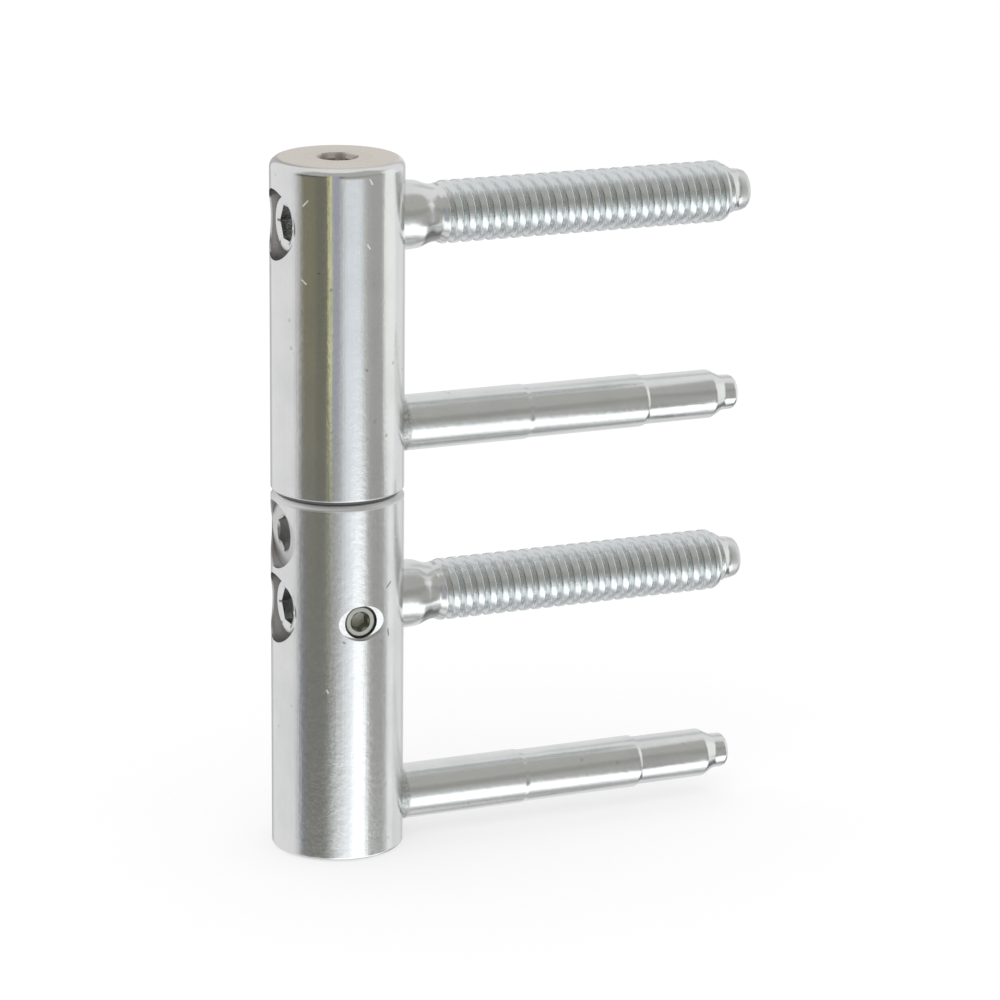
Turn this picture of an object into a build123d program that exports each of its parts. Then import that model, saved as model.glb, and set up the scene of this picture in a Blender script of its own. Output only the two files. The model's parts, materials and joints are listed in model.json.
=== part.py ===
from build123d import *
import os
from math import cos, radians, sin, sqrt

# Adjustable drill-in hinge. Two round barrels turn on one hinge axis. Each barrel
# carries a threaded pin and a plain pin that go into drilled holes, the lower pair in
# the door frame and the upper pair in the door.
# The origin is on the hinge axis at the lower end face, +X runs out along the pins,
# +Z runs up the hinge axis, and -Y is the side of the front lock screw.
# All lengths are in millimetres.

# Barrels
barrel_d = 20.0
end_margin = 6.25         # lower end face to the axis of the lower plain pin
pin_spacing = 31.8        # plain pin to threaded pin, the same in both halves
joint_margin = 8.65       # joint face of the upper barrel to its plain pin
top_margin = 9.45         # upper threaded pin to the top face
bore_web = 1.0            # metal left between two neighbouring bores
joint_lip = 1.1           # metal above the eccentric's bore, up to the joint face
top_round = 1.5           # rounded edge of the top face
end_bevel = 0.35          # broken edge of the lower end face
joint_chamfer = 0.85      # bevel of the lower barrel's edge at the joint
joint_edge = 0.15         # broken edge of the upper barrel at the joint
back_wall = 3.5           # metal behind the lower plain pin

# Threaded pins, which turn in cross bores and pull the barrel in or out
thread_d = 9.4
head_step = 1.0           # the head is larger than the thread, which passes its bore
head_clear = 0.1          # radial clearance of the head in the cross bore
head_recess = 1.8         # end face of the head below the barrel's surface
head_bevel = 1.2          # bevel of the head's end face
neck_step = 0.95          # the neck is smaller across than the thread's crests
nose_step = 3.0           # and so is the nose
neck_start = 4.7          # distances along the pins count from the barrel's wall
thread_start = 5.6
thread_end = 51.8
nose_start = 53.3
pin_reach = 56.3
groove_depth = 1.4        # turned groove in the head, which the lock pad holds

# Plain pins
plain_d = 8.4
mid_step = 0.3            # each stretch is smaller across than the first one
end_step = 0.9
tip_step = 3.0
first_step = 19.7
second_step = 39.4
tip_start = 50.8
plain_reach = 55.1

# Hinge pin, its bush and the disc that carries the door's weight
hinge_d = 8.0
bush_wall = 0.97
bush_clear = 0.03         # radial running clearance of the bush on the hinge pin
guide_clear = 0.05        # radial clearance of the bush and of the pin's foot
flange_d = 19.0
flange_t = 0.4            # bush flange, seen as the thin line between the barrels
disc_t = 1.5
dome_rise = 0.8           # height of the hinge pin's domed end
end_gap = 0.05            # play between pieces that bear on each other end to end

# Height eccentric, whose stub lifts the hinge pin by a slot in the pin's foot
lift_offset = 1.5
stub_d = 4.5
eccentric_rim = 1.35      # metal outside the stub's path, up to the head's edge
eccentric_clear = 0.05
eccentric_recess = 1.5
eccentric_web = 0.55      # thinnest metal between its bore and the hinge pin's bore
stub_reach = 2.9          # how far the stub goes into the hinge pin
slot_clear = 0.08
rest_angle = -45.0        # stub's place at the lowest height, from +Y towards +Z
turn_angle = 90.0
stop_pin_d = 1.5
stop_groove = 1.2         # depth of the groove that the stop pin runs in

# Lock screws and their pads
front_screw_d = 5.0
front_key = 2.5
front_recess = 1.05
front_pad_d = 4.0
front_side = 0.3          # the front lock screw stands this far towards the pins
front_drop = 0.75         # and this far below the threaded pin's axis
flat_width = 7.2          # oval spot face round it, across the barrel and along it
flat_height = 5.4
flat_depth = 0.65
top_screw_d = 10.0
top_recess = 0.03
top_pad_d = 8.4
top_pad_t = 0.9
spigot_d = 5.0            # end of the top pad, which stands in the groove
screw_clear = 0.04
pad_gap = 0.05            # pad to the groove's floor
pad_play = 0.1            # pad to the groove's sides
socket_key = 5.0          # key size of the large hexagon sockets
socket_floor = 0.7        # metal left under a socket in a short screw
pin_socket_depth = 4.0

# Worked out from the sizes above
barrel_r = barrel_d / 2
head_r = thread_d / 2 + head_step / 2
cross_bore_r = head_r + head_clear
groove_r = head_r - groove_depth
pad_seat = groove_r + pad_gap
head_top = head_r + 0.15

bush_bore_r = hinge_d / 2 + bush_clear
bush_r = bush_bore_r + bush_wall
guide_bore_r = bush_r + guide_clear
foot_r = bush_r

stub_r = stub_d / 2
eccentric_r = lift_offset + stub_r + eccentric_rim
eccentric_bore_r = eccentric_r + eccentric_clear
stub_hole_r = lift_offset + stub_r + 0.2

lower_plain_z = end_margin
lower_thread_z = lower_plain_z + pin_spacing
front_z = lower_thread_z - front_drop
guide_floor_z = lower_thread_z + cross_bore_r + bore_web
eccentric_z = guide_floor_z + eccentric_bore_r
joint_z = eccentric_z + eccentric_bore_r + joint_lip
upper_base_z = joint_z + flange_t
upper_plain_z = upper_base_z + joint_margin
upper_thread_z = upper_plain_z + pin_spacing
top_z = upper_thread_z + top_margin
guide_roof_z = upper_thread_z - cross_bore_r - bore_web
pin_top_z = guide_roof_z - disc_t - end_gap

eccentric_face_x = -(barrel_r - eccentric_recess)
eccentric_floor_x = -(guide_bore_r + eccentric_web)
stub_end_x = -(foot_r - stub_reach)
stop_pin_x = (eccentric_face_x + eccentric_floor_x) / 2
stub_y = lift_offset * cos(radians(rest_angle))
stub_z = eccentric_z + lift_offset * sin(radians(rest_angle))


def turned(outline):
    """Solid turned about Z from an outline of (height, radius) points."""
    points = [(radius, 0, height) for height, radius in outline]
    return revolve(make_face(Polyline(*points, close=True)), Axis.Z)


def along_pins(solid, height):
    """Lay a solid that was turned about Z along +X, at a height on the barrel."""
    return Pos(0, 0, height) * Rot(0, 90, 0) * solid


def to_front(solid):
    """Lay a solid that was turned about Z along -Y, on the front lock screw's axis."""
    return Pos(front_side, 0, front_z) * Rot(90, 0, 0) * solid


def disc(radius, low, high):
    """Plain cylinder about Z between two heights."""
    return Pos(0, 0, (low + high) / 2) * Cylinder(radius, high - low)


def hexagon(key, face, depth):
    """Hexagon socket that opens upwards at a face, with a bevelled mouth."""
    prism = Pos(0, 0, face - depth) * extrude(RegularPolygon(key / 2, 6, major_radius=False), depth + 1)
    corner_r = key / sqrt(3)
    lead = Pos(0, 0, face) * Cone(corner_r - 0.3, corner_r + 0.3, 0.6)
    return prism + lead


def cross_bore(height):
    """Bore right through a barrel for the head of a threaded pin."""
    return along_pins(disc(cross_bore_r, -barrel_d, barrel_d), height)


def lower_barrel():
    body = turned([
        (0, 0),
        (0, barrel_r - end_bevel),
        (end_bevel, barrel_r),
        (joint_z - joint_chamfer, barrel_r),
        (joint_z, barrel_r - joint_chamfer),
        (joint_z, 0),
    ])
    body -= disc(guide_bore_r, guide_floor_z, joint_z + 1)
    body -= cross_bore(lower_thread_z)
    plain_hole = disc(plain_d / 2, -(barrel_r - back_wall), barrel_d)
    body -= along_pins(plain_hole, lower_plain_z)
    body -= along_pins(disc(eccentric_bore_r, -barrel_d, eccentric_floor_x), eccentric_z)
    body -= along_pins(disc(stub_hole_r, eccentric_floor_x - 1, 0), eccentric_z)
    body -= Pos(stop_pin_x, 0, 0) * disc(stop_pin_d / 2, eccentric_z, joint_z + 1)
    body -= to_front(disc(front_screw_d / 2 + screw_clear, groove_r, barrel_d))
    oval = extrude(Ellipse(flat_width / 2, flat_height / 2), 2 * flat_depth)
    return body - to_front(Pos(0, 0, barrel_r - flat_depth) * oval)


def upper_barrel():
    """Barrel of the door half, whose rounded top edge is cut in three bevels."""
    rim = [
        (top_z - top_round * (1 - sin(radians(turn))), barrel_r - top_round * (1 - cos(radians(turn))))
        for turn in (0, 30, 60, 90)
    ]
    body = turned([
        (upper_base_z, 0),
        (upper_base_z, barrel_r - joint_edge),
        (upper_base_z + joint_edge, barrel_r),
        *rim,
        (top_z, 0),
    ])
    body -= disc(guide_bore_r, upper_base_z - 1, guide_roof_z)
    body -= cross_bore(upper_thread_z)
    body -= along_pins(disc(plain_d / 2, 0, barrel_d), upper_plain_z)
    screw_floor = upper_thread_z + sqrt(cross_bore_r**2 - (spigot_d / 2 + 0.3) ** 2)
    return body - disc(top_screw_d / 2 + screw_clear, screw_floor, top_z + 1)


def threaded_pin(height):
    """Threaded pin at its crest diameter, with its captive head in the barrel."""
    wall = barrel_r
    thread_r = thread_d / 2
    neck_r = thread_r - neck_step / 2
    nose_r = thread_r - nose_step / 2
    groove_half = spigot_d / 2 + pad_play
    outline = [
        (-wall + head_recess, 0),
        (-wall + head_recess, head_r - head_bevel),
        (-wall + head_recess + head_bevel, head_r),
        (-groove_half, head_r),
        (-groove_half, groove_r),
        (groove_half, groove_r),
        (groove_half, head_r),
        (wall + 0.6, head_r),
        (wall + neck_start, neck_r),
        (wall + thread_start, neck_r),
        (wall + thread_start + 0.5, thread_r),
        (wall + thread_end - 0.4, thread_r),
        (wall + nose_start, nose_r),
        (wall + pin_reach, nose_r),
        (wall + pin_reach, 0),
    ]
    pin = along_pins(turned(outline), height)
    socket = along_pins(Rot(0, 180, 0) * hexagon(socket_key, wall - head_recess, pin_socket_depth), height)
    return pin - socket


def plain_pin(start, height):
    """Plain pin that steps down towards its tip, pressed into the barrel."""
    wall = barrel_r
    first_r = plain_d / 2
    mid_r = first_r - mid_step / 2
    end_r = first_r - end_step / 2
    tip_r = first_r - tip_step / 2
    outline = [
        (start, 0),
        (start, first_r),
        (wall + first_step, first_r),
        (wall + first_step + 0.6, mid_r),
        (wall + second_step - 0.6, mid_r),
        (wall + second_step, end_r),
        (wall + tip_start, end_r),
        (wall + tip_start + 2.1, tip_r),
        (wall + plain_reach, tip_r),
        (wall + plain_reach, 0),
    ]
    return along_pins(turned(outline), height)


def height_eccentric():
    """Eccentric with a key socket: its stub lifts the hinge pin as it turns."""
    face = eccentric_face_x
    inner = eccentric_floor_x - end_gap
    body = along_pins(disc(eccentric_r, face, inner), eccentric_z)
    body += Pos(0, stub_y, 0) * along_pins(disc(stub_r, inner - 0.5, stub_end_x), stub_z)
    depth = inner - face - socket_floor
    body -= along_pins(Rot(0, 180, 0) * hexagon(socket_key, -face, depth), eccentric_z)
    return body - stop_track()


def stop_track():
    """Groove round part of the eccentric's rim, whose ends meet the stop pin."""
    half = stop_pin_d / 2 + pad_play
    slack = 1.0
    pin_angle = 2 * degrees_across(stop_pin_d / 2, eccentric_r - stop_groove)
    track = Pos(stop_pin_x, 0, 0) * Rectangle(2 * half, 2 * stop_groove).moved(Location((0, eccentric_r, 0)))
    arc = turn_angle + pin_angle + 2 * slack
    ring = revolve(track, Axis.X, arc)
    start = 90 - turn_angle - pin_angle / 2 - slack
    return Pos(0, 0, eccentric_z) * Rot(start, 0, 0) * ring


def degrees_across(half_width, radius):
    """Angle that a half width takes up at a radius, rounded up a little."""
    return 57.3 * half_width / radius * 1.01


def stop_pin():
    low = eccentric_z + eccentric_r - stop_groove + 0.1
    return Pos(stop_pin_x, 0, 0) * disc(stop_pin_d / 2, low, joint_z - 0.05)


def hinge_pin():
    """Hinge pin with a slotted foot, which slides in the lower barrel."""
    foot_low = guide_floor_z + 0.25
    shaft_r = hinge_d / 2
    shaft = turned([
        (foot_low, 0),
        (foot_low, foot_r),
        (joint_z, foot_r),
        (joint_z, shaft_r),
        (pin_top_z - dome_rise, shaft_r),
        (pin_top_z - 0.25 * dome_rise, 0.6 * shaft_r),
        (pin_top_z, 0.25 * shaft_r),
        (pin_top_z, 0),
    ])
    slot_depth = stub_reach + 0.3
    slot_height = stub_d + 2 * slot_clear
    slot = Box(2 * slot_depth, barrel_d, slot_height)
    return shaft - Pos(-foot_r, 0, stub_z) * slot


def bearing_bush():
    """Flanged bush: its flange is the thin washer between the barrels."""
    top = pin_top_z - dome_rise - 0.5
    return turned([
        (joint_z, bush_bore_r),
        (joint_z, flange_d / 2),
        (upper_base_z, flange_d / 2),
        (upper_base_z, bush_r),
        (top, bush_r),
        (top, bush_bore_r),
    ])


def thrust_disc():
    return disc(bush_r, guide_roof_z - disc_t, guide_roof_z)


def front_lock_pad():
    return to_front(disc(front_pad_d / 2, pad_seat, head_top))


def front_lock_screw():
    """Grub screw at its crest diameter, as the top one is."""
    face = barrel_r - front_recess
    body = disc(front_screw_d / 2, head_top, face)
    return to_front(body - hexagon(front_key, face, (face - head_top) / 2))


def top_lock_pad():
    low = upper_thread_z + pad_seat
    shoulder = upper_thread_z + head_top
    return disc(spigot_d / 2, low, shoulder) + disc(top_pad_d / 2, shoulder, shoulder + top_pad_t)


def top_lock_screw():
    low = upper_thread_z + head_top + top_pad_t
    face = top_z - top_recess
    body = disc(top_screw_d / 2, low, face)
    return body - hexagon(socket_key, face, face - low - socket_floor)


parts = {
    "lower_barrel": lower_barrel(),
    "lower_plain_pin": plain_pin(-(barrel_r - back_wall), lower_plain_z),
    "lower_threaded_pin": threaded_pin(lower_thread_z),
    "front_lock_pad": front_lock_pad(),
    "front_lock_screw": front_lock_screw(),
    "height_eccentric": height_eccentric(),
    "eccentric_stop_pin": stop_pin(),
    "hinge_pin": hinge_pin(),
    "bearing_bush": bearing_bush(),
    "upper_barrel": upper_barrel(),
    "upper_plain_pin": plain_pin(guide_bore_r + 0.3, upper_plain_z),
    "thrust_disc": thrust_disc(),
    "upper_threaded_pin": threaded_pin(upper_thread_z),
    "top_lock_pad": top_lock_pad(),
    "top_lock_screw": top_lock_screw(),
}

os.makedirs("parts", exist_ok=True)
for name, solid in parts.items():
    export_step(solid, f"parts/{name}.step")
    print(name, round(solid.volume, 1))
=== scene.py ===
# %% [markdown]
# # An adjustable drill-in hinge
# Two round barrels turn on one hidden pin, and each carries a threaded pin and a plain
# pin that go into the wood. Nearly all of it is zinc-plated steel. A plated surface has
# little colour of its own, so this lesson is mostly about two things: clean curved
# shapes, and what stands around them to be mirrored.

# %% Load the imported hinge
import json
from math import cos, pi, radians, sin

import bpy
import numpy as np
from mathutils import Matrix, Vector


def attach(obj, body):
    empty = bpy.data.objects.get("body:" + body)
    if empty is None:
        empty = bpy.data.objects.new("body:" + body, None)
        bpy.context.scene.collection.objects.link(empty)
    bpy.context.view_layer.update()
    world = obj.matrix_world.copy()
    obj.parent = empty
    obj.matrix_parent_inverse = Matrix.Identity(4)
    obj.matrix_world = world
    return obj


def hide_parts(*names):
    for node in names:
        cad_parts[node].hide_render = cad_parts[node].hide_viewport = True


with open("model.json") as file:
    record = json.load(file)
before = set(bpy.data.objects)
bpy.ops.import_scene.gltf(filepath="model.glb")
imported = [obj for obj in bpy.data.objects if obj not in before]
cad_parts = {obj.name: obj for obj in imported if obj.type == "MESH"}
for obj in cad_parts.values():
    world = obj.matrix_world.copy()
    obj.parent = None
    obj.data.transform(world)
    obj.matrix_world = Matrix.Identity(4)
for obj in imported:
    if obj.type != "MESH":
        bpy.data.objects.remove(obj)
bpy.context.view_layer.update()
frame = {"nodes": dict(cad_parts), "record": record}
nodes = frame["nodes"]

# %% [markdown]
# ## The camera
# The photograph was taken with a long lens, a little above the joint and turned to the
# left of the pins. Setting the camera from angles keeps those facts readable, where a
# pasted matrix would hide them. The small roll is real: the barrels lean in the picture.

# %% Camera
heading, pitch, roll = radians(-22.83), radians(15.94), radians(0.636)
right = Vector((cos(heading), sin(heading), 0))
level = Vector((-sin(heading), cos(heading), 0))
forward = cos(pitch) * level - sin(pitch) * Vector((0, 0, 1))
up = right.cross(forward)
turned_right = cos(roll) * right + sin(roll) * up
turned_up = cos(roll) * up - sin(roll) * right

lens = bpy.data.cameras.new("camera")
lens.lens, lens.sensor_width = 149.33, 36
lens.clip_start, lens.clip_end = 0.01, 20
camera = bpy.data.objects.new("camera", lens)
camera_place = Matrix.Translation((-0.2091, -0.5594, 0.2245))
camera.matrix_world = camera_place @ Matrix((turned_right, turned_up, -forward)).transposed().to_4x4()
bpy.context.collection.objects.link(camera)
bpy.context.scene.camera = camera
bpy.context.scene.view_settings.view_transform = "Standard"
print("camera", round(camera.location.length, 3), "m from the origin")

# %% [markdown]
# ## Node trees as arithmetic
# A procedural finish is a sum of noises, masks and edges. Wiring them by hand takes ten
# lines for each sum, so `Wire` wraps one socket and gives it +, - and *, and `Finish`
# has a single method that adds any other node. The settings are given before the
# sockets, because some nodes change their sockets with their settings.

# %% Wires and finishes
class Wire:
    """One output socket, with arithmetic that adds Math nodes."""

    def __init__(self, finish, socket):
        self.finish, self.socket = finish, socket

    def maths(self, operation, *others):
        sockets = dict(enumerate((self, *others)))
        return self.finish.node("Math", {"operation": operation}, sockets)

    def __add__(self, other):
        return self.maths("ADD", other)

    __radd__ = __add__

    def __sub__(self, other):
        return self.maths("SUBTRACT", other)

    def __rsub__(self, other):
        return self.maths("MULTIPLY_ADD", -1, other)

    def __mul__(self, other):
        return self.maths("MULTIPLY", other)

    def step(self, low, high):
        """0 below low, 1 above high, and smooth between them."""
        settings = {"interpolation_type": "SMOOTHSTEP"}
        return self.finish.node("MapRange", settings, {0: self, 1: low, 2: high})

    def between(self, low, high, soft):
        """1 from low to high, with an edge that is soft to both sides of each."""
        return self.step(low - soft, low + soft) * (1 - self.step(high - soft, high + soft))

    def split(self):
        """The x, y and z of a vector."""
        outputs = self.finish.node("SeparateXYZ", sockets={0: self}).socket.node.outputs
        return [Wire(self.finish, socket) for socket in outputs]


class Finish:
    """A material and its node tree."""

    def __init__(self, name):
        self.material = bpy.data.materials.new(name)
        self.material.use_nodes = True
        self.tree = self.material.node_tree
        self.tree.nodes.clear()

    def node(self, kind, settings=None, sockets=None, out=0):
        made = self.tree.nodes.new("ShaderNode" + kind)
        for name, value in (settings or {}).items():
            setattr(made, name, value)
        for key, value in (sockets or {}).items():
            if isinstance(value, Wire):
                self.tree.links.new(value.socket, made.inputs[key])
            else:
                made.inputs[key].default_value = value
        return Wire(self, made.outputs[out]) if made.outputs else made

    def mix(self, factor, first, second):
        sockets = {0: factor, 6: first, 7: second}
        return self.node("Mix", {"data_type": "RGBA"}, sockets, out=2)


def colour(r, g, b):
    return (r, g, b, 1)


# %% [markdown]
# ## What the metal mirrors
# Chrome-like parts look wrong in an empty world, because all they show is what stands
# around them. The photograph's reflections tell what that was: a pale studio, a dim
# room and a dark doorway behind the camera, and a bright table. A large dome carries
# them as soft-edged panels, each with a range of compass angle and height. Only mirror
# rays see the dome, so it neither lights the hinge nor shows behind it. One material
# on one object does it all, where a row of card objects would leave gaps.

# %% Studio dome
dome_middle = (0, 0, 0.053)
behind_camera = radians(-112.83)
degrees_per_radian = 180 / pi

dome_finish = Finish("studio_dome")
place = dome_finish.node("NewGeometry", out=0)
centred = dome_finish.node("VectorMath", {"operation": "SUBTRACT"}, {0: place, 1: dome_middle})
east, north, height = centred.split()
along = east * cos(behind_camera) + north * sin(behind_camera)
across = north * cos(behind_camera) - east * sin(behind_camera)
compass = across.maths("ARCTAN2", along) * degrees_per_radian
flat = (east * east + north * north).maths("SQRT")
tilt = height.maths("ARCTAN2", flat) * degrees_per_radian


def panel(left, right, bottom, top, soft, soft_tilt):
    """Mask of a window in the dome, in degrees from behind the camera and above level."""
    return compass.between(left, right, soft) * tilt.between(bottom, top, soft_tilt)


panels = {
    "dim_room": ((-71, 100, -30, 67, 10, 5), colour(0.46, 0.46, 0.44)),
    "roof_beam": ((-70, 14, 8, 27, 8, 5), colour(0.12, 0.12, 0.11)),
    "shelf": ((14, 100, 5, 24, 8, 5), colour(0.36, 0.36, 0.34)),
    "doorway": ((-61, -11, -15.5, 8, 5, 1.5), colour(0.235, 0.220, 0.155)),
    "doorway_depth": ((-34, -13, -15.5, 8, 4, 1.5), colour(0.18, 0.175, 0.135)),
    "doorway_foot": ((-61, -1, -27, -15.5, 5, 1.5), colour(0.180, 0.185, 0.170)),
    "door_frame": ((-66, -55, -27, -15.5, 2, 1.5), colour(0.19, 0.21, 0.25)),
    "yellow_edge": ((-12, -6.5, -15.5, 30, 1.5, 1.5), colour(0.80, 0.80, 0.42)),
    "lilac_edge": ((-6.5, 7, -15.5, 30, 2, 1.5), colour(0.38, 0.39, 0.46)),
    "pale_wall": ((12, 47, -27, -5, 8, 6), colour(0.82, 0.87, 0.91)),
    "table": ((-10, 100, -52, -24, 10, 4), colour(1.45, 1.50, 1.52)),
    "table_end": ((28, 53, -27, -17, 6, 3), colour(1.55, 1.60, 1.62)),
    "right_screen": ((60, 85, -24, 12, 5, 4), colour(0.42, 0.42, 0.41)),
    "screen_foot": ((60, 94, -27, -15.5, 4, 1.5), colour(0.36, 0.36, 0.34)),
    "window": ((88, 118, -15.5, 30, 4, 1.5), colour(0.98, 1.00, 0.98)),
    "window_foot": ((99, 114, -27, -15.5, 3, 1.5), colour(0.95, 1.00, 1.00)),
    "dark_corner": ((104, 135, -56, -28, 6, 4), colour(0.16, 0.17, 0.18)),
    "table_edge": ((-180, 180, -66, -58, 1, 4), colour(0.40, 0.40, 0.40)),
    "far_wall": ((-170, -150, -45, 50, 5, 6), colour(0.50, 0.50, 0.51)),
    "far_door": ((150, 163, -45, 50, 4, 6), colour(0.62, 0.62, 0.62)),
}
glow = colour(0.84, 0.84, 0.85)
for bounds, shade in panels.values():
    glow = dome_finish.mix(panel(*bounds), glow, shade)
shine = dome_finish.node("Emission", sockets={"Color": glow, "Strength": 1.0})
dome_finish.node("OutputMaterial", sockets={"Surface": shine})

bpy.ops.mesh.primitive_ico_sphere_add(subdivisions=5, radius=1.2, location=dome_middle)
dome = bpy.context.object
dome.name = "studio_dome"
dome.data.materials.append(dome_finish.material)
for ray in ("camera", "diffuse", "shadow", "transmission", "volume_scatter"):
    setattr(dome, "visible_" + ray, False)
print("dome with", len(panels), "panels")

# %% [markdown]
# ## Floor and light
# The hinge stands on a pale floor that fades into a white world, so only its soft
# shadow shows. The world is a plain white and one broad lamp gives the shadow a side.
# The lamp is weak on purpose: more light would bleach the plating instead of the floor.

# %% Floor, world and lamp
just_under = -0.0002
floor_finish = Finish("pale_floor")
where = floor_finish.node("NewGeometry", out=0)
cloud = floor_finish.node("TexNoise", sockets={"Vector": where, "Scale": 6.0, "Detail": 3.0})
tone = floor_finish.mix(cloud, colour(0.94, 0.94, 0.94), colour(0.97, 0.97, 0.97))
paper = floor_finish.node("BsdfDiffuse", sockets={"Color": tone})
bleach = floor_finish.node("Emission", sockets={"Color": colour(1.02, 1.02, 1.02), "Strength": 1.0})
seen = floor_finish.node("LightPath", out=0)
white = floor_finish.node("MixShader", sockets={0: seen * 0.55, 1: paper, 2: bleach})
floor_finish.node("OutputMaterial", sockets={"Surface": white})
bpy.ops.mesh.primitive_circle_add(
    vertices=96, radius=4, fill_type="NGON", location=(0, 0, just_under))
floor = bpy.context.object
floor.name = "floor"
floor.data.materials.append(floor_finish.material)
floor.visible_glossy = False

world = bpy.data.worlds.new("white_world")
world.use_nodes = True
world.node_tree.nodes["Background"].inputs["Color"].default_value = colour(1, 1, 1)
world.node_tree.nodes["Background"].inputs["Strength"].default_value = 1.0
bpy.context.scene.world = world

lamp_data = bpy.data.lights.new("soft_lamp", "AREA")
lamp_data.shape, lamp_data.size, lamp_data.energy = "DISK", 1.2, 3.0
lamp = bpy.data.objects.new("soft_lamp", lamp_data)
lamp.location = (-0.7, -0.9, 1.4)
lamp.rotation_euler = (-lamp.location).to_track_quat("-Z", "Y").to_euler()
lamp.visible_glossy = False
bpy.context.collection.objects.link(lamp)
print("floor, world and", lamp_data.energy, "W lamp")

# %% [markdown]
# ## Turned pieces
# Pins and screws come off a lathe, so their meshes are built the same way: a list of
# rings along an axis, each with a radius. A ring may also give a radius for every
# column, and that is what turns a plain round into a thread or a hexagon. A Screw
# modifier could wind a thread, but it would not meet the smooth neck without a seam.

# %% Lathe
AXES = {
    "x": (Vector((1, 0, 0)), Vector((0, 1, 0)), Vector((0, 0, 1))),
    "z": (Vector((0, 0, 1)), Vector((1, 0, 0)), Vector((0, 1, 0))),
    "front": (Vector((0, -1, 0)), Vector((1, 0, 0)), Vector((0, 0, 1))),
}
mm = 0.001


def round_over(mesh):
    """Smooth shading that still breaks at real corners."""
    mesh.shade_smooth()
    mesh.set_sharp_from_angle(angle=radians(38))


def column_angles(columns):
    return np.arange(columns) * 2 * pi / columns


def turned(name, rings, axis, start, columns):
    """Closed mesh from (distance, radius) rings in millimetres along an axis."""
    along, first, second = (np.array(v) for v in AXES[axis])
    angle = column_angles(columns)
    spoke = np.outer(np.cos(angle), first) + np.outer(np.sin(angle), second)
    points, starts = [], []
    for distance, radius in rings:
        starts.append(len(points))
        if np.ndim(radius) == 0 and radius == 0:
            points.append(np.array(start) + distance * along)
        else:
            reach = np.broadcast_to(radius, columns)[:, None]
            points.extend(np.array(start) + distance * along + reach * spoke)
    starts.append(len(points))
    faces = []
    for a, b, after in zip(starts, starts[1:], starts[2:]):
        for i in range(columns):
            j = (i + 1) % columns
            if b - a == 1:
                faces.append((a, b + j, b + i))
            elif after - b == 1:
                faces.append((a + i, a + j, b))
            else:
                faces.append((a + i, a + j, b + j, b + i))
    mesh = bpy.data.meshes.new(name)
    mesh.from_pydata([tuple(p * mm) for p in points], [], faces)
    round_over(mesh)
    made = bpy.data.objects.new(name, mesh)
    bpy.context.collection.objects.link(made)
    print(name, len(faces), "faces")
    return made


# %% [markdown]
# ## The threaded pins
# The thread is rolled, not cut: its crests are broad and nearly flat, and only a narrow
# groove parts them. A bell curve in the distance to the groove gives its soft shoulders,
# and the turn of the helix is added column by column. It starts shallow after the bare
# neck and fades out again into the blunt nose. The other end is the captive head in the
# barrel, with its groove and hexagon socket.

# %% Threaded pins
thread_height = {"lower": 38.05, "upper": 96.6}
large_key, head_radius = 5.0, 5.2
neck_radius, pitch_length, thread_phase = 4.3, 2.0, 14.64


def smooth(x, low, high):
    t = min(max((x - low) / (high - low), 0), 1)
    return t * t * (3 - 2 * t)


def hexagon(key, columns, turn=0.0):
    """Radius of a hexagon at every column, from the size of its key."""
    return key / 2 / np.cos((column_angles(columns) + turn) % (pi / 3) - pi / 6)


def threaded_pin(name, height, columns=132):
    angle = column_angles(columns)
    socket = hexagon(large_key, columns)
    head = [
        (-4.2, 0), (-4.2, socket), (-7.86, socket), (-8.2, np.maximum(socket, 3.2)), (-8.2, 3.9),
        (-8.0, 4.1), (-7.15, 5.0), (-6.95, head_radius), (-2.75, head_radius), (-2.6, 5.05),
        (-2.6, 3.8), (2.6, 3.8), (2.6, 5.05), (2.75, head_radius), (10.3, head_radius),
    ]
    neck = [
        (11.0, 5.17), (12.0, 5.08), (12.6, 4.95), (13.3, 4.66), (14.0, 4.42), (14.5, 4.32),
        (14.9, neck_radius),
    ]
    thread = []
    for x in np.arange(15.0, 64.45, 0.1):
        crest = neck_radius + 0.42 * smooth(x, 14.9, 16.4) - 1.42 * smooth(x, 61.3, 64.3)
        depth = 0.66 * smooth(x, 14.6, 16.6) * (1 - smooth(x, 61.8, 64.5))
        from_groove = np.abs(((x - thread_phase) / pitch_length - angle / (2 * pi)) % 1 - 0.5)
        groove = 0.92 * np.exp(-(from_groove / 0.15) ** 2) + 0.32 * (0.5 - from_groove) ** 2
        thread.append((x, crest - depth * groove))
    nose = [
        (64.6, 3.26), (65.3, 3.14), (65.8, 2.96), (66.1, 2.66), (66.27, 2.2), (66.3, 1.6), (66.3, 0),
    ]
    return turned(name, head + neck + thread + nose, "x", (0, 0, height), columns)


pins = {
    "lower_threaded_pin": threaded_pin("lower_thread", thread_height["lower"]),
    "upper_threaded_pin": threaded_pin("upper_thread", thread_height["upper"]),
}

# %% [markdown]
# ## The plain pins
# A plain pin is drawn bar with three turned diameters. The steps are only a few tenths
# of a millimetre, but each one breaks the long highlight, so they get soft corners
# where a hard edge would flash white. The tip has a bevel and a short stub.

# %% Plain pins
plain_height = {"lower": 6.25, "upper": 64.8}


def plain_pin(name, start, height):
    stretches = [
        (start, 0), (start, 4.1), (start + 0.1, 4.2), (29.5, 4.2), (29.75, 4.18), (30.1, 4.07),
        (30.35, 4.05), (48.9, 4.05), (49.15, 4.0), (49.5, 3.82), (49.7, 3.75), (60.6, 3.75),
    ]
    tip = [
        (60.85, 3.72), (61.15, 3.58), (62.5, 2.86), (62.8, 2.74), (63.1, 2.7), (64.4, 2.66),
        (64.75, 2.55), (64.98, 2.32), (65.1, 1.95), (65.1, 0),
    ]
    return turned(name, stretches + tip, "x", (0, 0, height), columns=120)


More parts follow.
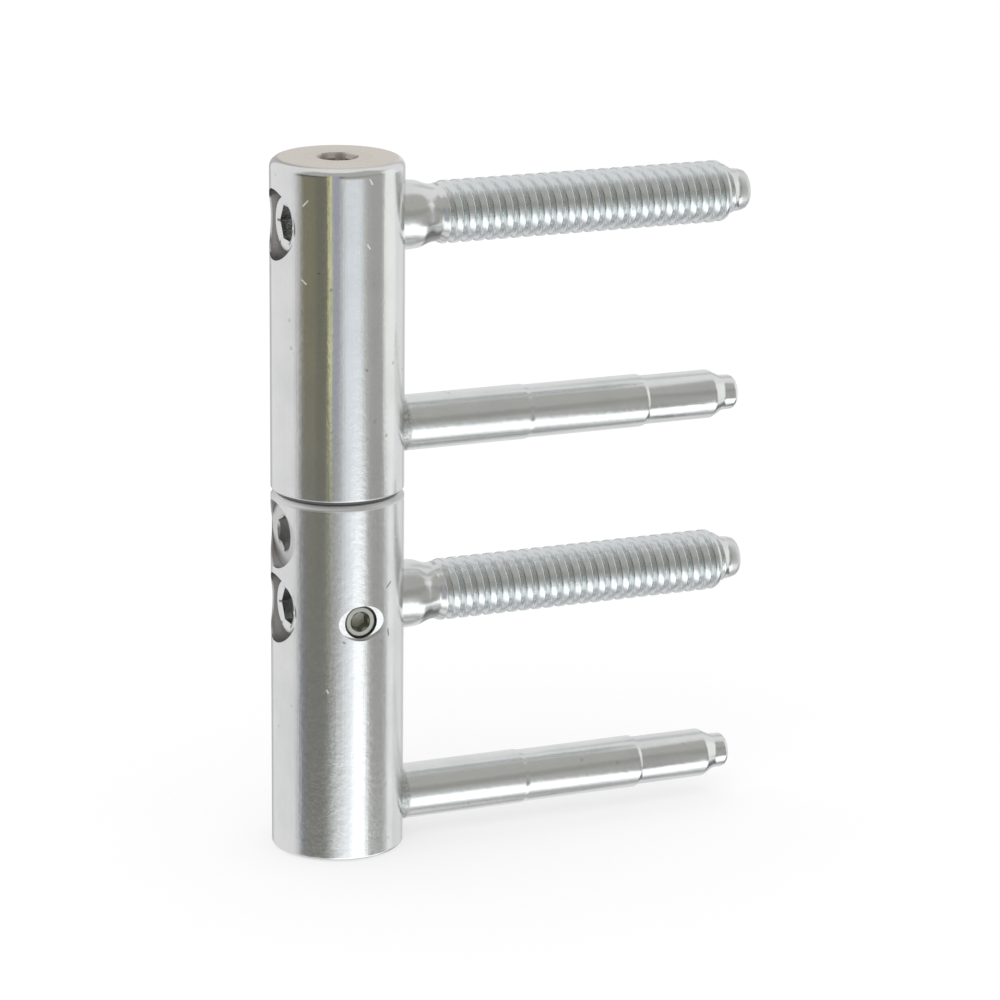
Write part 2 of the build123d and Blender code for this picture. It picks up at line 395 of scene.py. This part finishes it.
pins["lower_plain_pin"] = plain_pin("lower_plain", -6.5, plain_height["lower"])
pins["upper_plain_pin"] = plain_pin("upper_plain", 5.35, plain_height["upper"])

# %% [markdown]
# ## The barrels
# Each barrel is a turned outline with straight bores taken out of it, just as it is
# made. The outline's corners are drawn as short arcs, because a mirror finish shows
# every facet. A ring close behind each arc keeps its slope from bending the shading of
# the long straight side. The oval spot face is a bore with an ellipse for its radius.

# %% Barrel tools
def arc(height, radius, size, start, stop, steps=8):
    """Rings round a rounded corner whose centre is at (height, radius)."""
    angles = np.radians(np.linspace(start, stop, steps))
    return [(height + size * sin(a), radius + size * cos(a)) for a in angles]


def drill(axis, start, low, high, radius):
    return turned("drill", [(low, 0), (low, radius), (high, radius), (high, 0)], axis, start, columns=120)


def bored(body, tools):
    """Body with the tools taken out, as one new mesh."""
    for tool in tools:
        bore = body.modifiers.new("bore", "BOOLEAN")
        bore.object, bore.solver = tool, "EXACT"
    worked = body.evaluated_get(bpy.context.evaluated_depsgraph_get())
    mesh = bpy.data.meshes.new_from_object(worked)
    body.modifiers.clear()
    body.data = mesh
    for tool in tools:
        bpy.data.objects.remove(tool)
    round_over(mesh)
    print(body.name, len(mesh.polygons), "faces after boring")
    return body


# %% Barrels
axis_at = (0, 0, 0)
front_screw_at = (0.3, 0, 37.3)
eccentric_at = (0, 0, 49.5)
stop_pin_at = (-7.05, 0, 0)
lower_top, upper_foot, top_height = 55.75, 56.15, 106.05
hinge_bore, head_bore, plain_bore, top_bore = 5.05, 5.3, 4.21, 5.04
oval_high, oval_wide = 2.7, 3.6
oval_angles = column_angles(120)
oval = oval_high * oval_wide / np.hypot(oval_high * np.cos(oval_angles), oval_wide * np.sin(oval_angles))

lower_outline = [
    (0, 0), *arc(0.35, 9.65, 0.35, -90, 0), (0.5, 10), (54.6, 10), *arc(54.8, 9.8, 0.2, 0, 45, 4),
    *arc(55.55, 9.0, 0.2, 45, 90, 4), (lower_top, 8.9), (lower_top, 0),
]
upper_outline = [
    (upper_foot, 0), (upper_foot, 9.8), *arc(56.3, 9.85, 0.15, -90, 0, 4), (56.45, 10), (104.4, 10),
    *arc(104.55, 8.5, 1.5, 0, 90, 14), (top_height, 8.35), (top_height, 0),
]
barrels = {
    "lower_barrel": bored(turned("lower_body", lower_outline, "z", axis_at, 180), [
        drill("z", axis_at, 44.35, 58, hinge_bore),
        drill("x", (0, 0, thread_height["lower"]), -12, 12, head_bore),
        drill("x", (0, 0, plain_height["lower"]), -6.5, 12, plain_bore),
        drill("x", eccentric_at, -12, -5.6, 5.15),
        drill("x", eccentric_at, -6.6, 0, 3.95),
        drill("z", stop_pin_at, 49.5, 58, 0.75),
        drill("front", front_screw_at, 3.8, 12, 2.54),
        drill("front", front_screw_at, 9.2, 12, oval),
    ]),
    "upper_barrel": bored(turned("upper_body", upper_outline, "z", axis_at, 180), [
        drill("z", axis_at, 54, 90.3, hinge_bore),
        drill("x", (0, 0, thread_height["upper"]), -12, 12, head_bore),
        drill("x", (0, 0, plain_height["upper"]), 0, 12, plain_bore),
        drill("z", axis_at, 101.1, 108, top_bore),
    ]),
}

# %% [markdown]
# ## The lock screws
# Both are grub screws: a rod of thread with a socket and no head. The small one sits in
# the oval spot face in front, the big one fills the hole in the top face. They are
# turned like the pins, with a finer helix. Then every new piece is tied to the body that
# it moves with and takes the place of its CAD node.

# %% Lock screws
def grub_screw(name, axis, start, radius, low, high, key, depth, pitch, rim):
    """Grub screw from low to high, with a bevel of rim round its socket's end."""
    columns = 96
    socket = hexagon(key, columns, turn=pi / 6 if axis == "front" else 0.0)
    rings = [(low, 0), (low, 0.8 * radius)]
    for s in np.arange(low + 0.05, high - rim - 0.3, pitch / 12):
        phase = (s - low) / pitch - column_angles(columns) / (2 * pi)
        fade = smooth(s, low, low + pitch)
        crest = radius * (0.8 + 0.2 * smooth(s, low - 0.2 * radius, low + 0.15 * radius))
        rings.append((s, crest - 0.5 * pitch * fade * np.abs(2 * (phase % 1) - 1)))
    rings += [
        (high - rim - 0.1, radius), (high - rim, radius), (high, radius - rim),
        (high, np.maximum(socket, 0.63 * key)), (high - 0.15 * key, socket),
        (high - depth, socket), (high - depth - 0.12 * key, 0),
    ]
    return turned(name, rings, axis, start, columns)


screws = {
    "front_lock_screw": grub_screw(
        "front_grub_screw", "front", front_screw_at, radius=2.5, low=5.37, high=8.95,
        key=2.5, depth=1.8, pitch=0.8, rim=0.35),
    "top_lock_screw": grub_screw(
        "top_grub_screw", "z", axis_at, radius=top_bore, low=102.85, high=top_height,
        key=large_key, depth=2.4, pitch=1.0, rim=0.01),
}

# %% Ride and replace
bodies = frame["record"]["behaviour"]["bodies"]
body_of = {node: body for body, listed in bodies.items() for node in listed}
pieces = {**pins, **barrels, **screws}
for node, piece in pieces.items():
    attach(piece, body_of[node])
    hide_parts(node)

# %% [markdown]
# ## Zinc plate
# Bright zinc on drawn steel is nearly a mirror, but not quite. The bath leaves a fine
# orange peel with tiny pits, the drawing leaves faint streaks along the bar, and
# handling leaves a few nicks. The streaks are a stretched noise and the peel a round
# one. Pits and nicks are cells cut off at a threshold, let through only in patches. They
# go into the bump and the roughness more than into the colour, as plating has hardly any.

# %% Zinc plate
class Zinc(Finish):
    """Bright zinc plate with streaks, peel, pits and nicks; plate() closes the tree."""

    def __init__(self, name, bright, tarnish, streak_axis):
        super().__init__(name)
        self.at = self.node("TexCoord", out=3)
        self.x, self.y, self.z = (length * 1000 for length in self.at.split())
        scale = [2600.0] * 3
        scale["xyz".index(streak_axis)] = 45.0
        stretched = self.node("VectorMath", {"operation": "MULTIPLY"}, {0: self.at, 1: tuple(scale)})
        self.lines = self.node("TexNoise", sockets={"Vector": stretched, "Scale": 1.0, "Detail": 2.0}) - 0.5
        self.grain = self.noise(2300.0, 3.0) - 0.5
        self.peel = self.noise(900.0, 2.0) - 0.5
        self.cloud = self.noise(160.0, 3.0) - 0.5
        self.nick = (1 - self.cells(420.0).step(0.10, 0.17)) * self.noise(75.0, 1.0).step(0.58, 0.64)
        self.pits = (1 - self.cells(2200.0).step(0.15, 0.45)) * self.noise(260.0, 2.0).step(0.48, 0.62)
        self.tone = self.mix(self.cloud.step(-0.15, 0.25), bright, tarnish)
        sheen = (self.grain + self.lines * 0.6).step(-0.3, 0.3)
        self.shade(sheen * 0.16, colour(0.95, 0.95, 0.95))
        self.shade(self.nick * 0.3, colour(0.33, 0.33, 0.32))

    def noise(self, scale, detail):
        return self.node("TexNoise", sockets={"Vector": self.at, "Scale": scale, "Detail": detail})

    def cells(self, scale):
        return self.node("TexVoronoi", sockets={"Vector": self.at, "Scale": scale, "Randomness": 1.0})

    def shade(self, mask, shade):
        self.tone = self.mix(mask, self.tone, shade)

    def plate(self, roughness, streak, peel):
        """Close the tree: height in units of 10 micrometres, roughness with its own mottle."""
        rough = roughness + self.cloud * 0.08 + self.grain * 0.12 + self.nick * 0.1
        height = self.lines * streak + self.peel * peel * 2.6 + self.grain * peel * 0.3
        height = height - self.nick * 0.5 - self.pits * peel * 0.45
        bump = self.node("Bump", sockets={"Height": height, "Distance": 0.00001, "Strength": 1.0})
        metal = self.node("BsdfPrincipled", sockets={
            "Base Color": self.tone, "Metallic": 1.0, "Roughness": rough, "Normal": bump})
        self.node("OutputMaterial", sockets={"Surface": metal})
        return self.material


# %% [markdown]
# ## Marks on the barrels
# A few scratches catch the light, with their glint painted in as white, and a few nicks
# stay dark. Noise would put them anywhere, so each is set between two points on the
# surface. The mask fades with two distances from their middle: along the mark, and beside it.

# %% Marks
def scratch(finish, start, end, width):
    """Mask of a scratch or a nick between two points, in millimetres."""
    start, end = Vector(start), Vector(end)
    middle = tuple((start + end) / 2 * mm)
    direction = tuple((end - start).normalized())
    offset = finish.node("VectorMath", {"operation": "SUBTRACT"}, {0: finish.at, 1: middle})
    run = finish.node("VectorMath", {"operation": "DOT_PRODUCT"}, {0: offset, 1: direction}, out=1)
    far = finish.node("VectorMath", {"operation": "LENGTH"}, {0: offset}, out=1)
    half_squared = ((end - start).length / 2 * mm) ** 2
    width_squared = (width * mm) ** 2
    beside = (far * far - run * run).step(0.2 * width_squared, width_squared)
    beyond = (run * run).step(0.5 * half_squared, half_squared)
    return (1 - beside) * (1 - beyond)


glinting_scratches = [
    ((0.9, -10.0, 94.9), (1.4, -9.9, 94.1)), ((-0.8, -10.0, 94.0), (-0.3, -10.0, 93.7)),
    ((1.3, -9.9, 104.5), (1.8, -9.8, 103.5)), ((-7.8, -6.3, 100.3), (-7.1, -7.1, 101.4)),
    ((-7.9, -6.1, 89.6), (-7.3, -6.9, 88.8)), ((-0.7, -10.0, 84.8), (-0.4, -10.0, 84.2)),
    ((-5.0, -8.7, 27.2), (-4.7, -8.8, 26.6)), ((0.8, -10.0, 22.3), (1.3, -9.9, 21.3)),
]
dark_marks = [
    ((-6.1, -7.9, 90.75), (-5.6, -8.2, 90.55)), ((-2.8, -9.6, 34.7), (-2.3, -9.7, 34.4)),
    ((4.4, -9.0, 42.1), (5.4, -8.4, 43.0)), ((4.7, -8.8, 35.8), (4.9, -8.7, 34.5)),
    ((0.7, -10.0, 76.3), (1.1, -9.9, 75.8)),
]
print(len(glinting_scratches), "bright and", len(dark_marks), "dark marks")

# %% [markdown]
# ## Barrel finish
# The two barrels are one bar stock with one plating, but they don't look alike: the
# upper one is smoother, the bores are painted darker inside as shade, and the top face was
# faced off and is a little rougher, with a darker, warmer tone painted on for what it
# mirrors from above. Masks from the height and the distance to the axis tell these places
# apart, so both barrels can share one material. The spot face stays bright: its depth
# takes it out of the painted bore shade.

# %% Barrel finish
# painted reflection: up-facing faces get a darker, warmer tone for what they mirror above
painted_top_tone = colour(0.645, 0.59, 0.51)
barrel = Zinc("zinc_barrel", colour(0.78, 0.78, 0.78), colour(0.73, 0.735, 0.73), "z")
from_axis = (barrel.x * barrel.x + barrel.y * barrel.y).maths("SQRT")
upper_half = barrel.z.step(55.9, 56.0)
top_face = barrel.z.step(105.8, 106.04)
joint_edges = barrel.z.step(54.6, 54.7) * (1 - barrel.z.step(56.3, 56.4))
ends = barrel.z.step(104.3, 104.5) + joint_edges
bore_painted_shade = (1 - from_axis.step(9.70, 9.86)) * (1 - ends.step(0.2, 0.8)) * barrel.z.step(0.4, 0.5)
bore_painted_shade = bore_painted_shade * barrel.y.step(-9.15, -9.05)
bright = sum(scratch(barrel, *mark, 0.16) for mark in glinting_scratches)
dark = sum(scratch(barrel, *mark, 0.18) for mark in dark_marks)

# painted reflection on the barrel's top face
barrel.shade(top_face, painted_top_tone)
# painted shade: the bores are darkened inside, where shade falls
barrel.shade(bore_painted_shade * 0.65, colour(0.30, 0.28, 0.27))
barrel.shade(dark * 0.75, colour(0.22, 0.22, 0.22))
# painted highlight: the scratches are painted white for their glint; the scratch and its roughness are real
barrel.shade(bright * 0.9, colour(1.0, 1.0, 1.0))
places = top_face * 0.12 + (bore_painted_shade + joint_edges) * 0.2 - upper_half * 0.05
finishes = {"zinc_barrel": barrel.plate(
    0.205 + places + bright * 0.5 + dark * 0.2, streak=0.8, peel=0.75 - upper_half * 0.2)}

# %% [markdown]
# ## Pin finish
# The rolled threads are cooler and a touch duller than the turned stretches, the blunt
# nose is rougher, each bare neck has painted shade low down where its highlight would be,
# and each plain pin gets painted shade, mottled by the grain, where it leaves the barrel.
# All four pins share one material, so the masks first ask how high a point is above its
# threaded pin, with the upper half let down onto the lower one.

# %% Pin finish
pin = Zinc("zinc_pin", colour(0.78, 0.785, 0.78), colour(0.73, 0.74, 0.735), "x")
between_halves = thread_height["upper"] - thread_height["lower"]
above_thread = pin.z - thread_height["lower"] - pin.z.step(60.0, 61.0) * between_halves
rolled = above_thread.step(-9.0, -8.0)
threaded = rolled * pin.x.step(15.5, 18.0) * (1 - pin.x.step(61.5, 63.5))
nose = rolled * pin.x.step(64.2, 64.6)
plain_root_shade = (1 - rolled) * (1 - pin.x.step(10.0, 10.6))
# painted shade low on each neck, in place of its highlight
neck_painted_shade = rolled * (1 - above_thread.step(-1.3, -0.3)) * above_thread.step(-4.7, -4.2)
neck_painted_shade = neck_painted_shade * pin.x.step(11.9, 12.6) * (1 - pin.x.step(14.9, 15.4))

# painted shade, mottled by the grain, where a plain pin leaves the barrel
pin.shade(plain_root_shade * (0.45 + pin.grain * 1.6), colour(0.26, 0.29, 0.26))
# painted shade: darkens the lower neck where the highlight would show
pin.shade(neck_painted_shade * 0.8, colour(0.22, 0.22, 0.21))
pin.shade(threaded * 0.5, colour(0.72, 0.77, 0.78))
finishes["zinc_pin"] = pin.plate(
    0.20 + threaded * 0.06 + nose * 0.22 + plain_root_shade * 0.2, streak=0.5, peel=0.8 - threaded * 0.5)

# %% [markdown]
# ## Screws, steel and brass
# The lock screws look greyer than the barrels, and the small one is darker still. The
# top screw's face gets the same painted reflection tone as the face around it, and its
# socket a painted shade. Hardened steel and brass sit inside, where only an open hinge
# shows them, so they are the same recipe with their own colours and faint streaks.

# %% Screws, steel and brass
screw = Zinc("zinc_screw", colour(0.62, 0.62, 0.61), colour(0.50, 0.50, 0.50), "z")
top_screw = screw.z.step(105.98, 106.0)
top_socket = screw.z.step(102.0, 102.1) * (1 - screw.z.step(105.7, 105.98))
front_screw = 1 - screw.y.step(-5.3, -5.2)
front_socket = front_screw * screw.y.step(-8.94, -8.85)
# painted reflection: the top screw's face gets the same tone as the barrel's top face
screw.shade(top_screw, painted_top_tone)
# painted shade: the top screw's socket is toned darker than its face
screw.shade(top_socket, colour(0.52, 0.47, 0.44))
screw.shade(front_screw * 0.8, colour(0.34, 0.34, 0.31))
screw.shade(front_socket, colour(0.44, 0.44, 0.37))
finishes["zinc_screw"] = screw.plate(0.30 + (top_socket + front_socket) * 0.2, streak=0.3, peel=0.8)

steel = Zinc("hardened_steel", colour(0.62, 0.62, 0.63), colour(0.56, 0.56, 0.57), "z")
finishes["hardened_steel"] = steel.plate(0.24, streak=0.3, peel=0.3)
brass = Zinc("brass_pad", colour(0.80, 0.60, 0.28), colour(0.70, 0.50, 0.22), "z")
finishes["brass_pad"] = brass.plate(0.30, streak=0.3, peel=0.3)
print(len(finishes), "metal finishes")

# %% [markdown]
# ## Black bush
# The bush is turned from black acetal, so it is the one piece that isn't metal. Only its
# flange shows, as the dark line between the barrels. Turned plastic has fine concentric
# rings and a soft sheen, which come from a wave in the distance to the hinge axis.

# %% Acetal
acetal = Finish("acetal_bush")
at = acetal.node("TexCoord", out=3)
rings_wave = acetal.node("TexWave", {"wave_type": "RINGS", "rings_direction": "Z"}, {
    "Vector": at, "Scale": 900.0, "Distortion": 1.5, "Detail": 2.0}, out=1)
mottle = acetal.node("TexNoise", sockets={"Vector": at, "Scale": 900.0, "Detail": 3.0})
plastic = acetal.node("BsdfPrincipled", sockets={
    "Base Color": acetal.mix(mottle, colour(0.09, 0.09, 0.092), colour(0.14, 0.14, 0.142)),
    "Roughness": 0.42 + (mottle - 0.5) * 0.2,
    "Normal": acetal.node("Bump", sockets={"Height": rings_wave, "Distance": 0.000004, "Strength": 0.8})})
acetal.node("OutputMaterial", sockets={"Surface": plastic})
finishes["acetal_bush"] = acetal.material
print("finishes:", ", ".join(finishes))

# %% [markdown]
# ## Dress every piece
# The record says which finish each node has. Nodes that keep their CAD mesh get it in
# their own slots, and the new pieces get the finish of the node that they replace.

# %% Assign finishes
slot_of = {part["node"]: part["material_slot"] for part in frame["record"]["subparts"]}
for name, node in nodes.items():
    for slot in node.material_slots:
        slot.link = "OBJECT"
        slot.material = finishes[slot_of[name]]
for name, piece in pieces.items():
    piece.data.materials.clear()
    piece.data.materials.append(finishes[slot_of[name]])
print(len(slot_of), "nodes dressed")
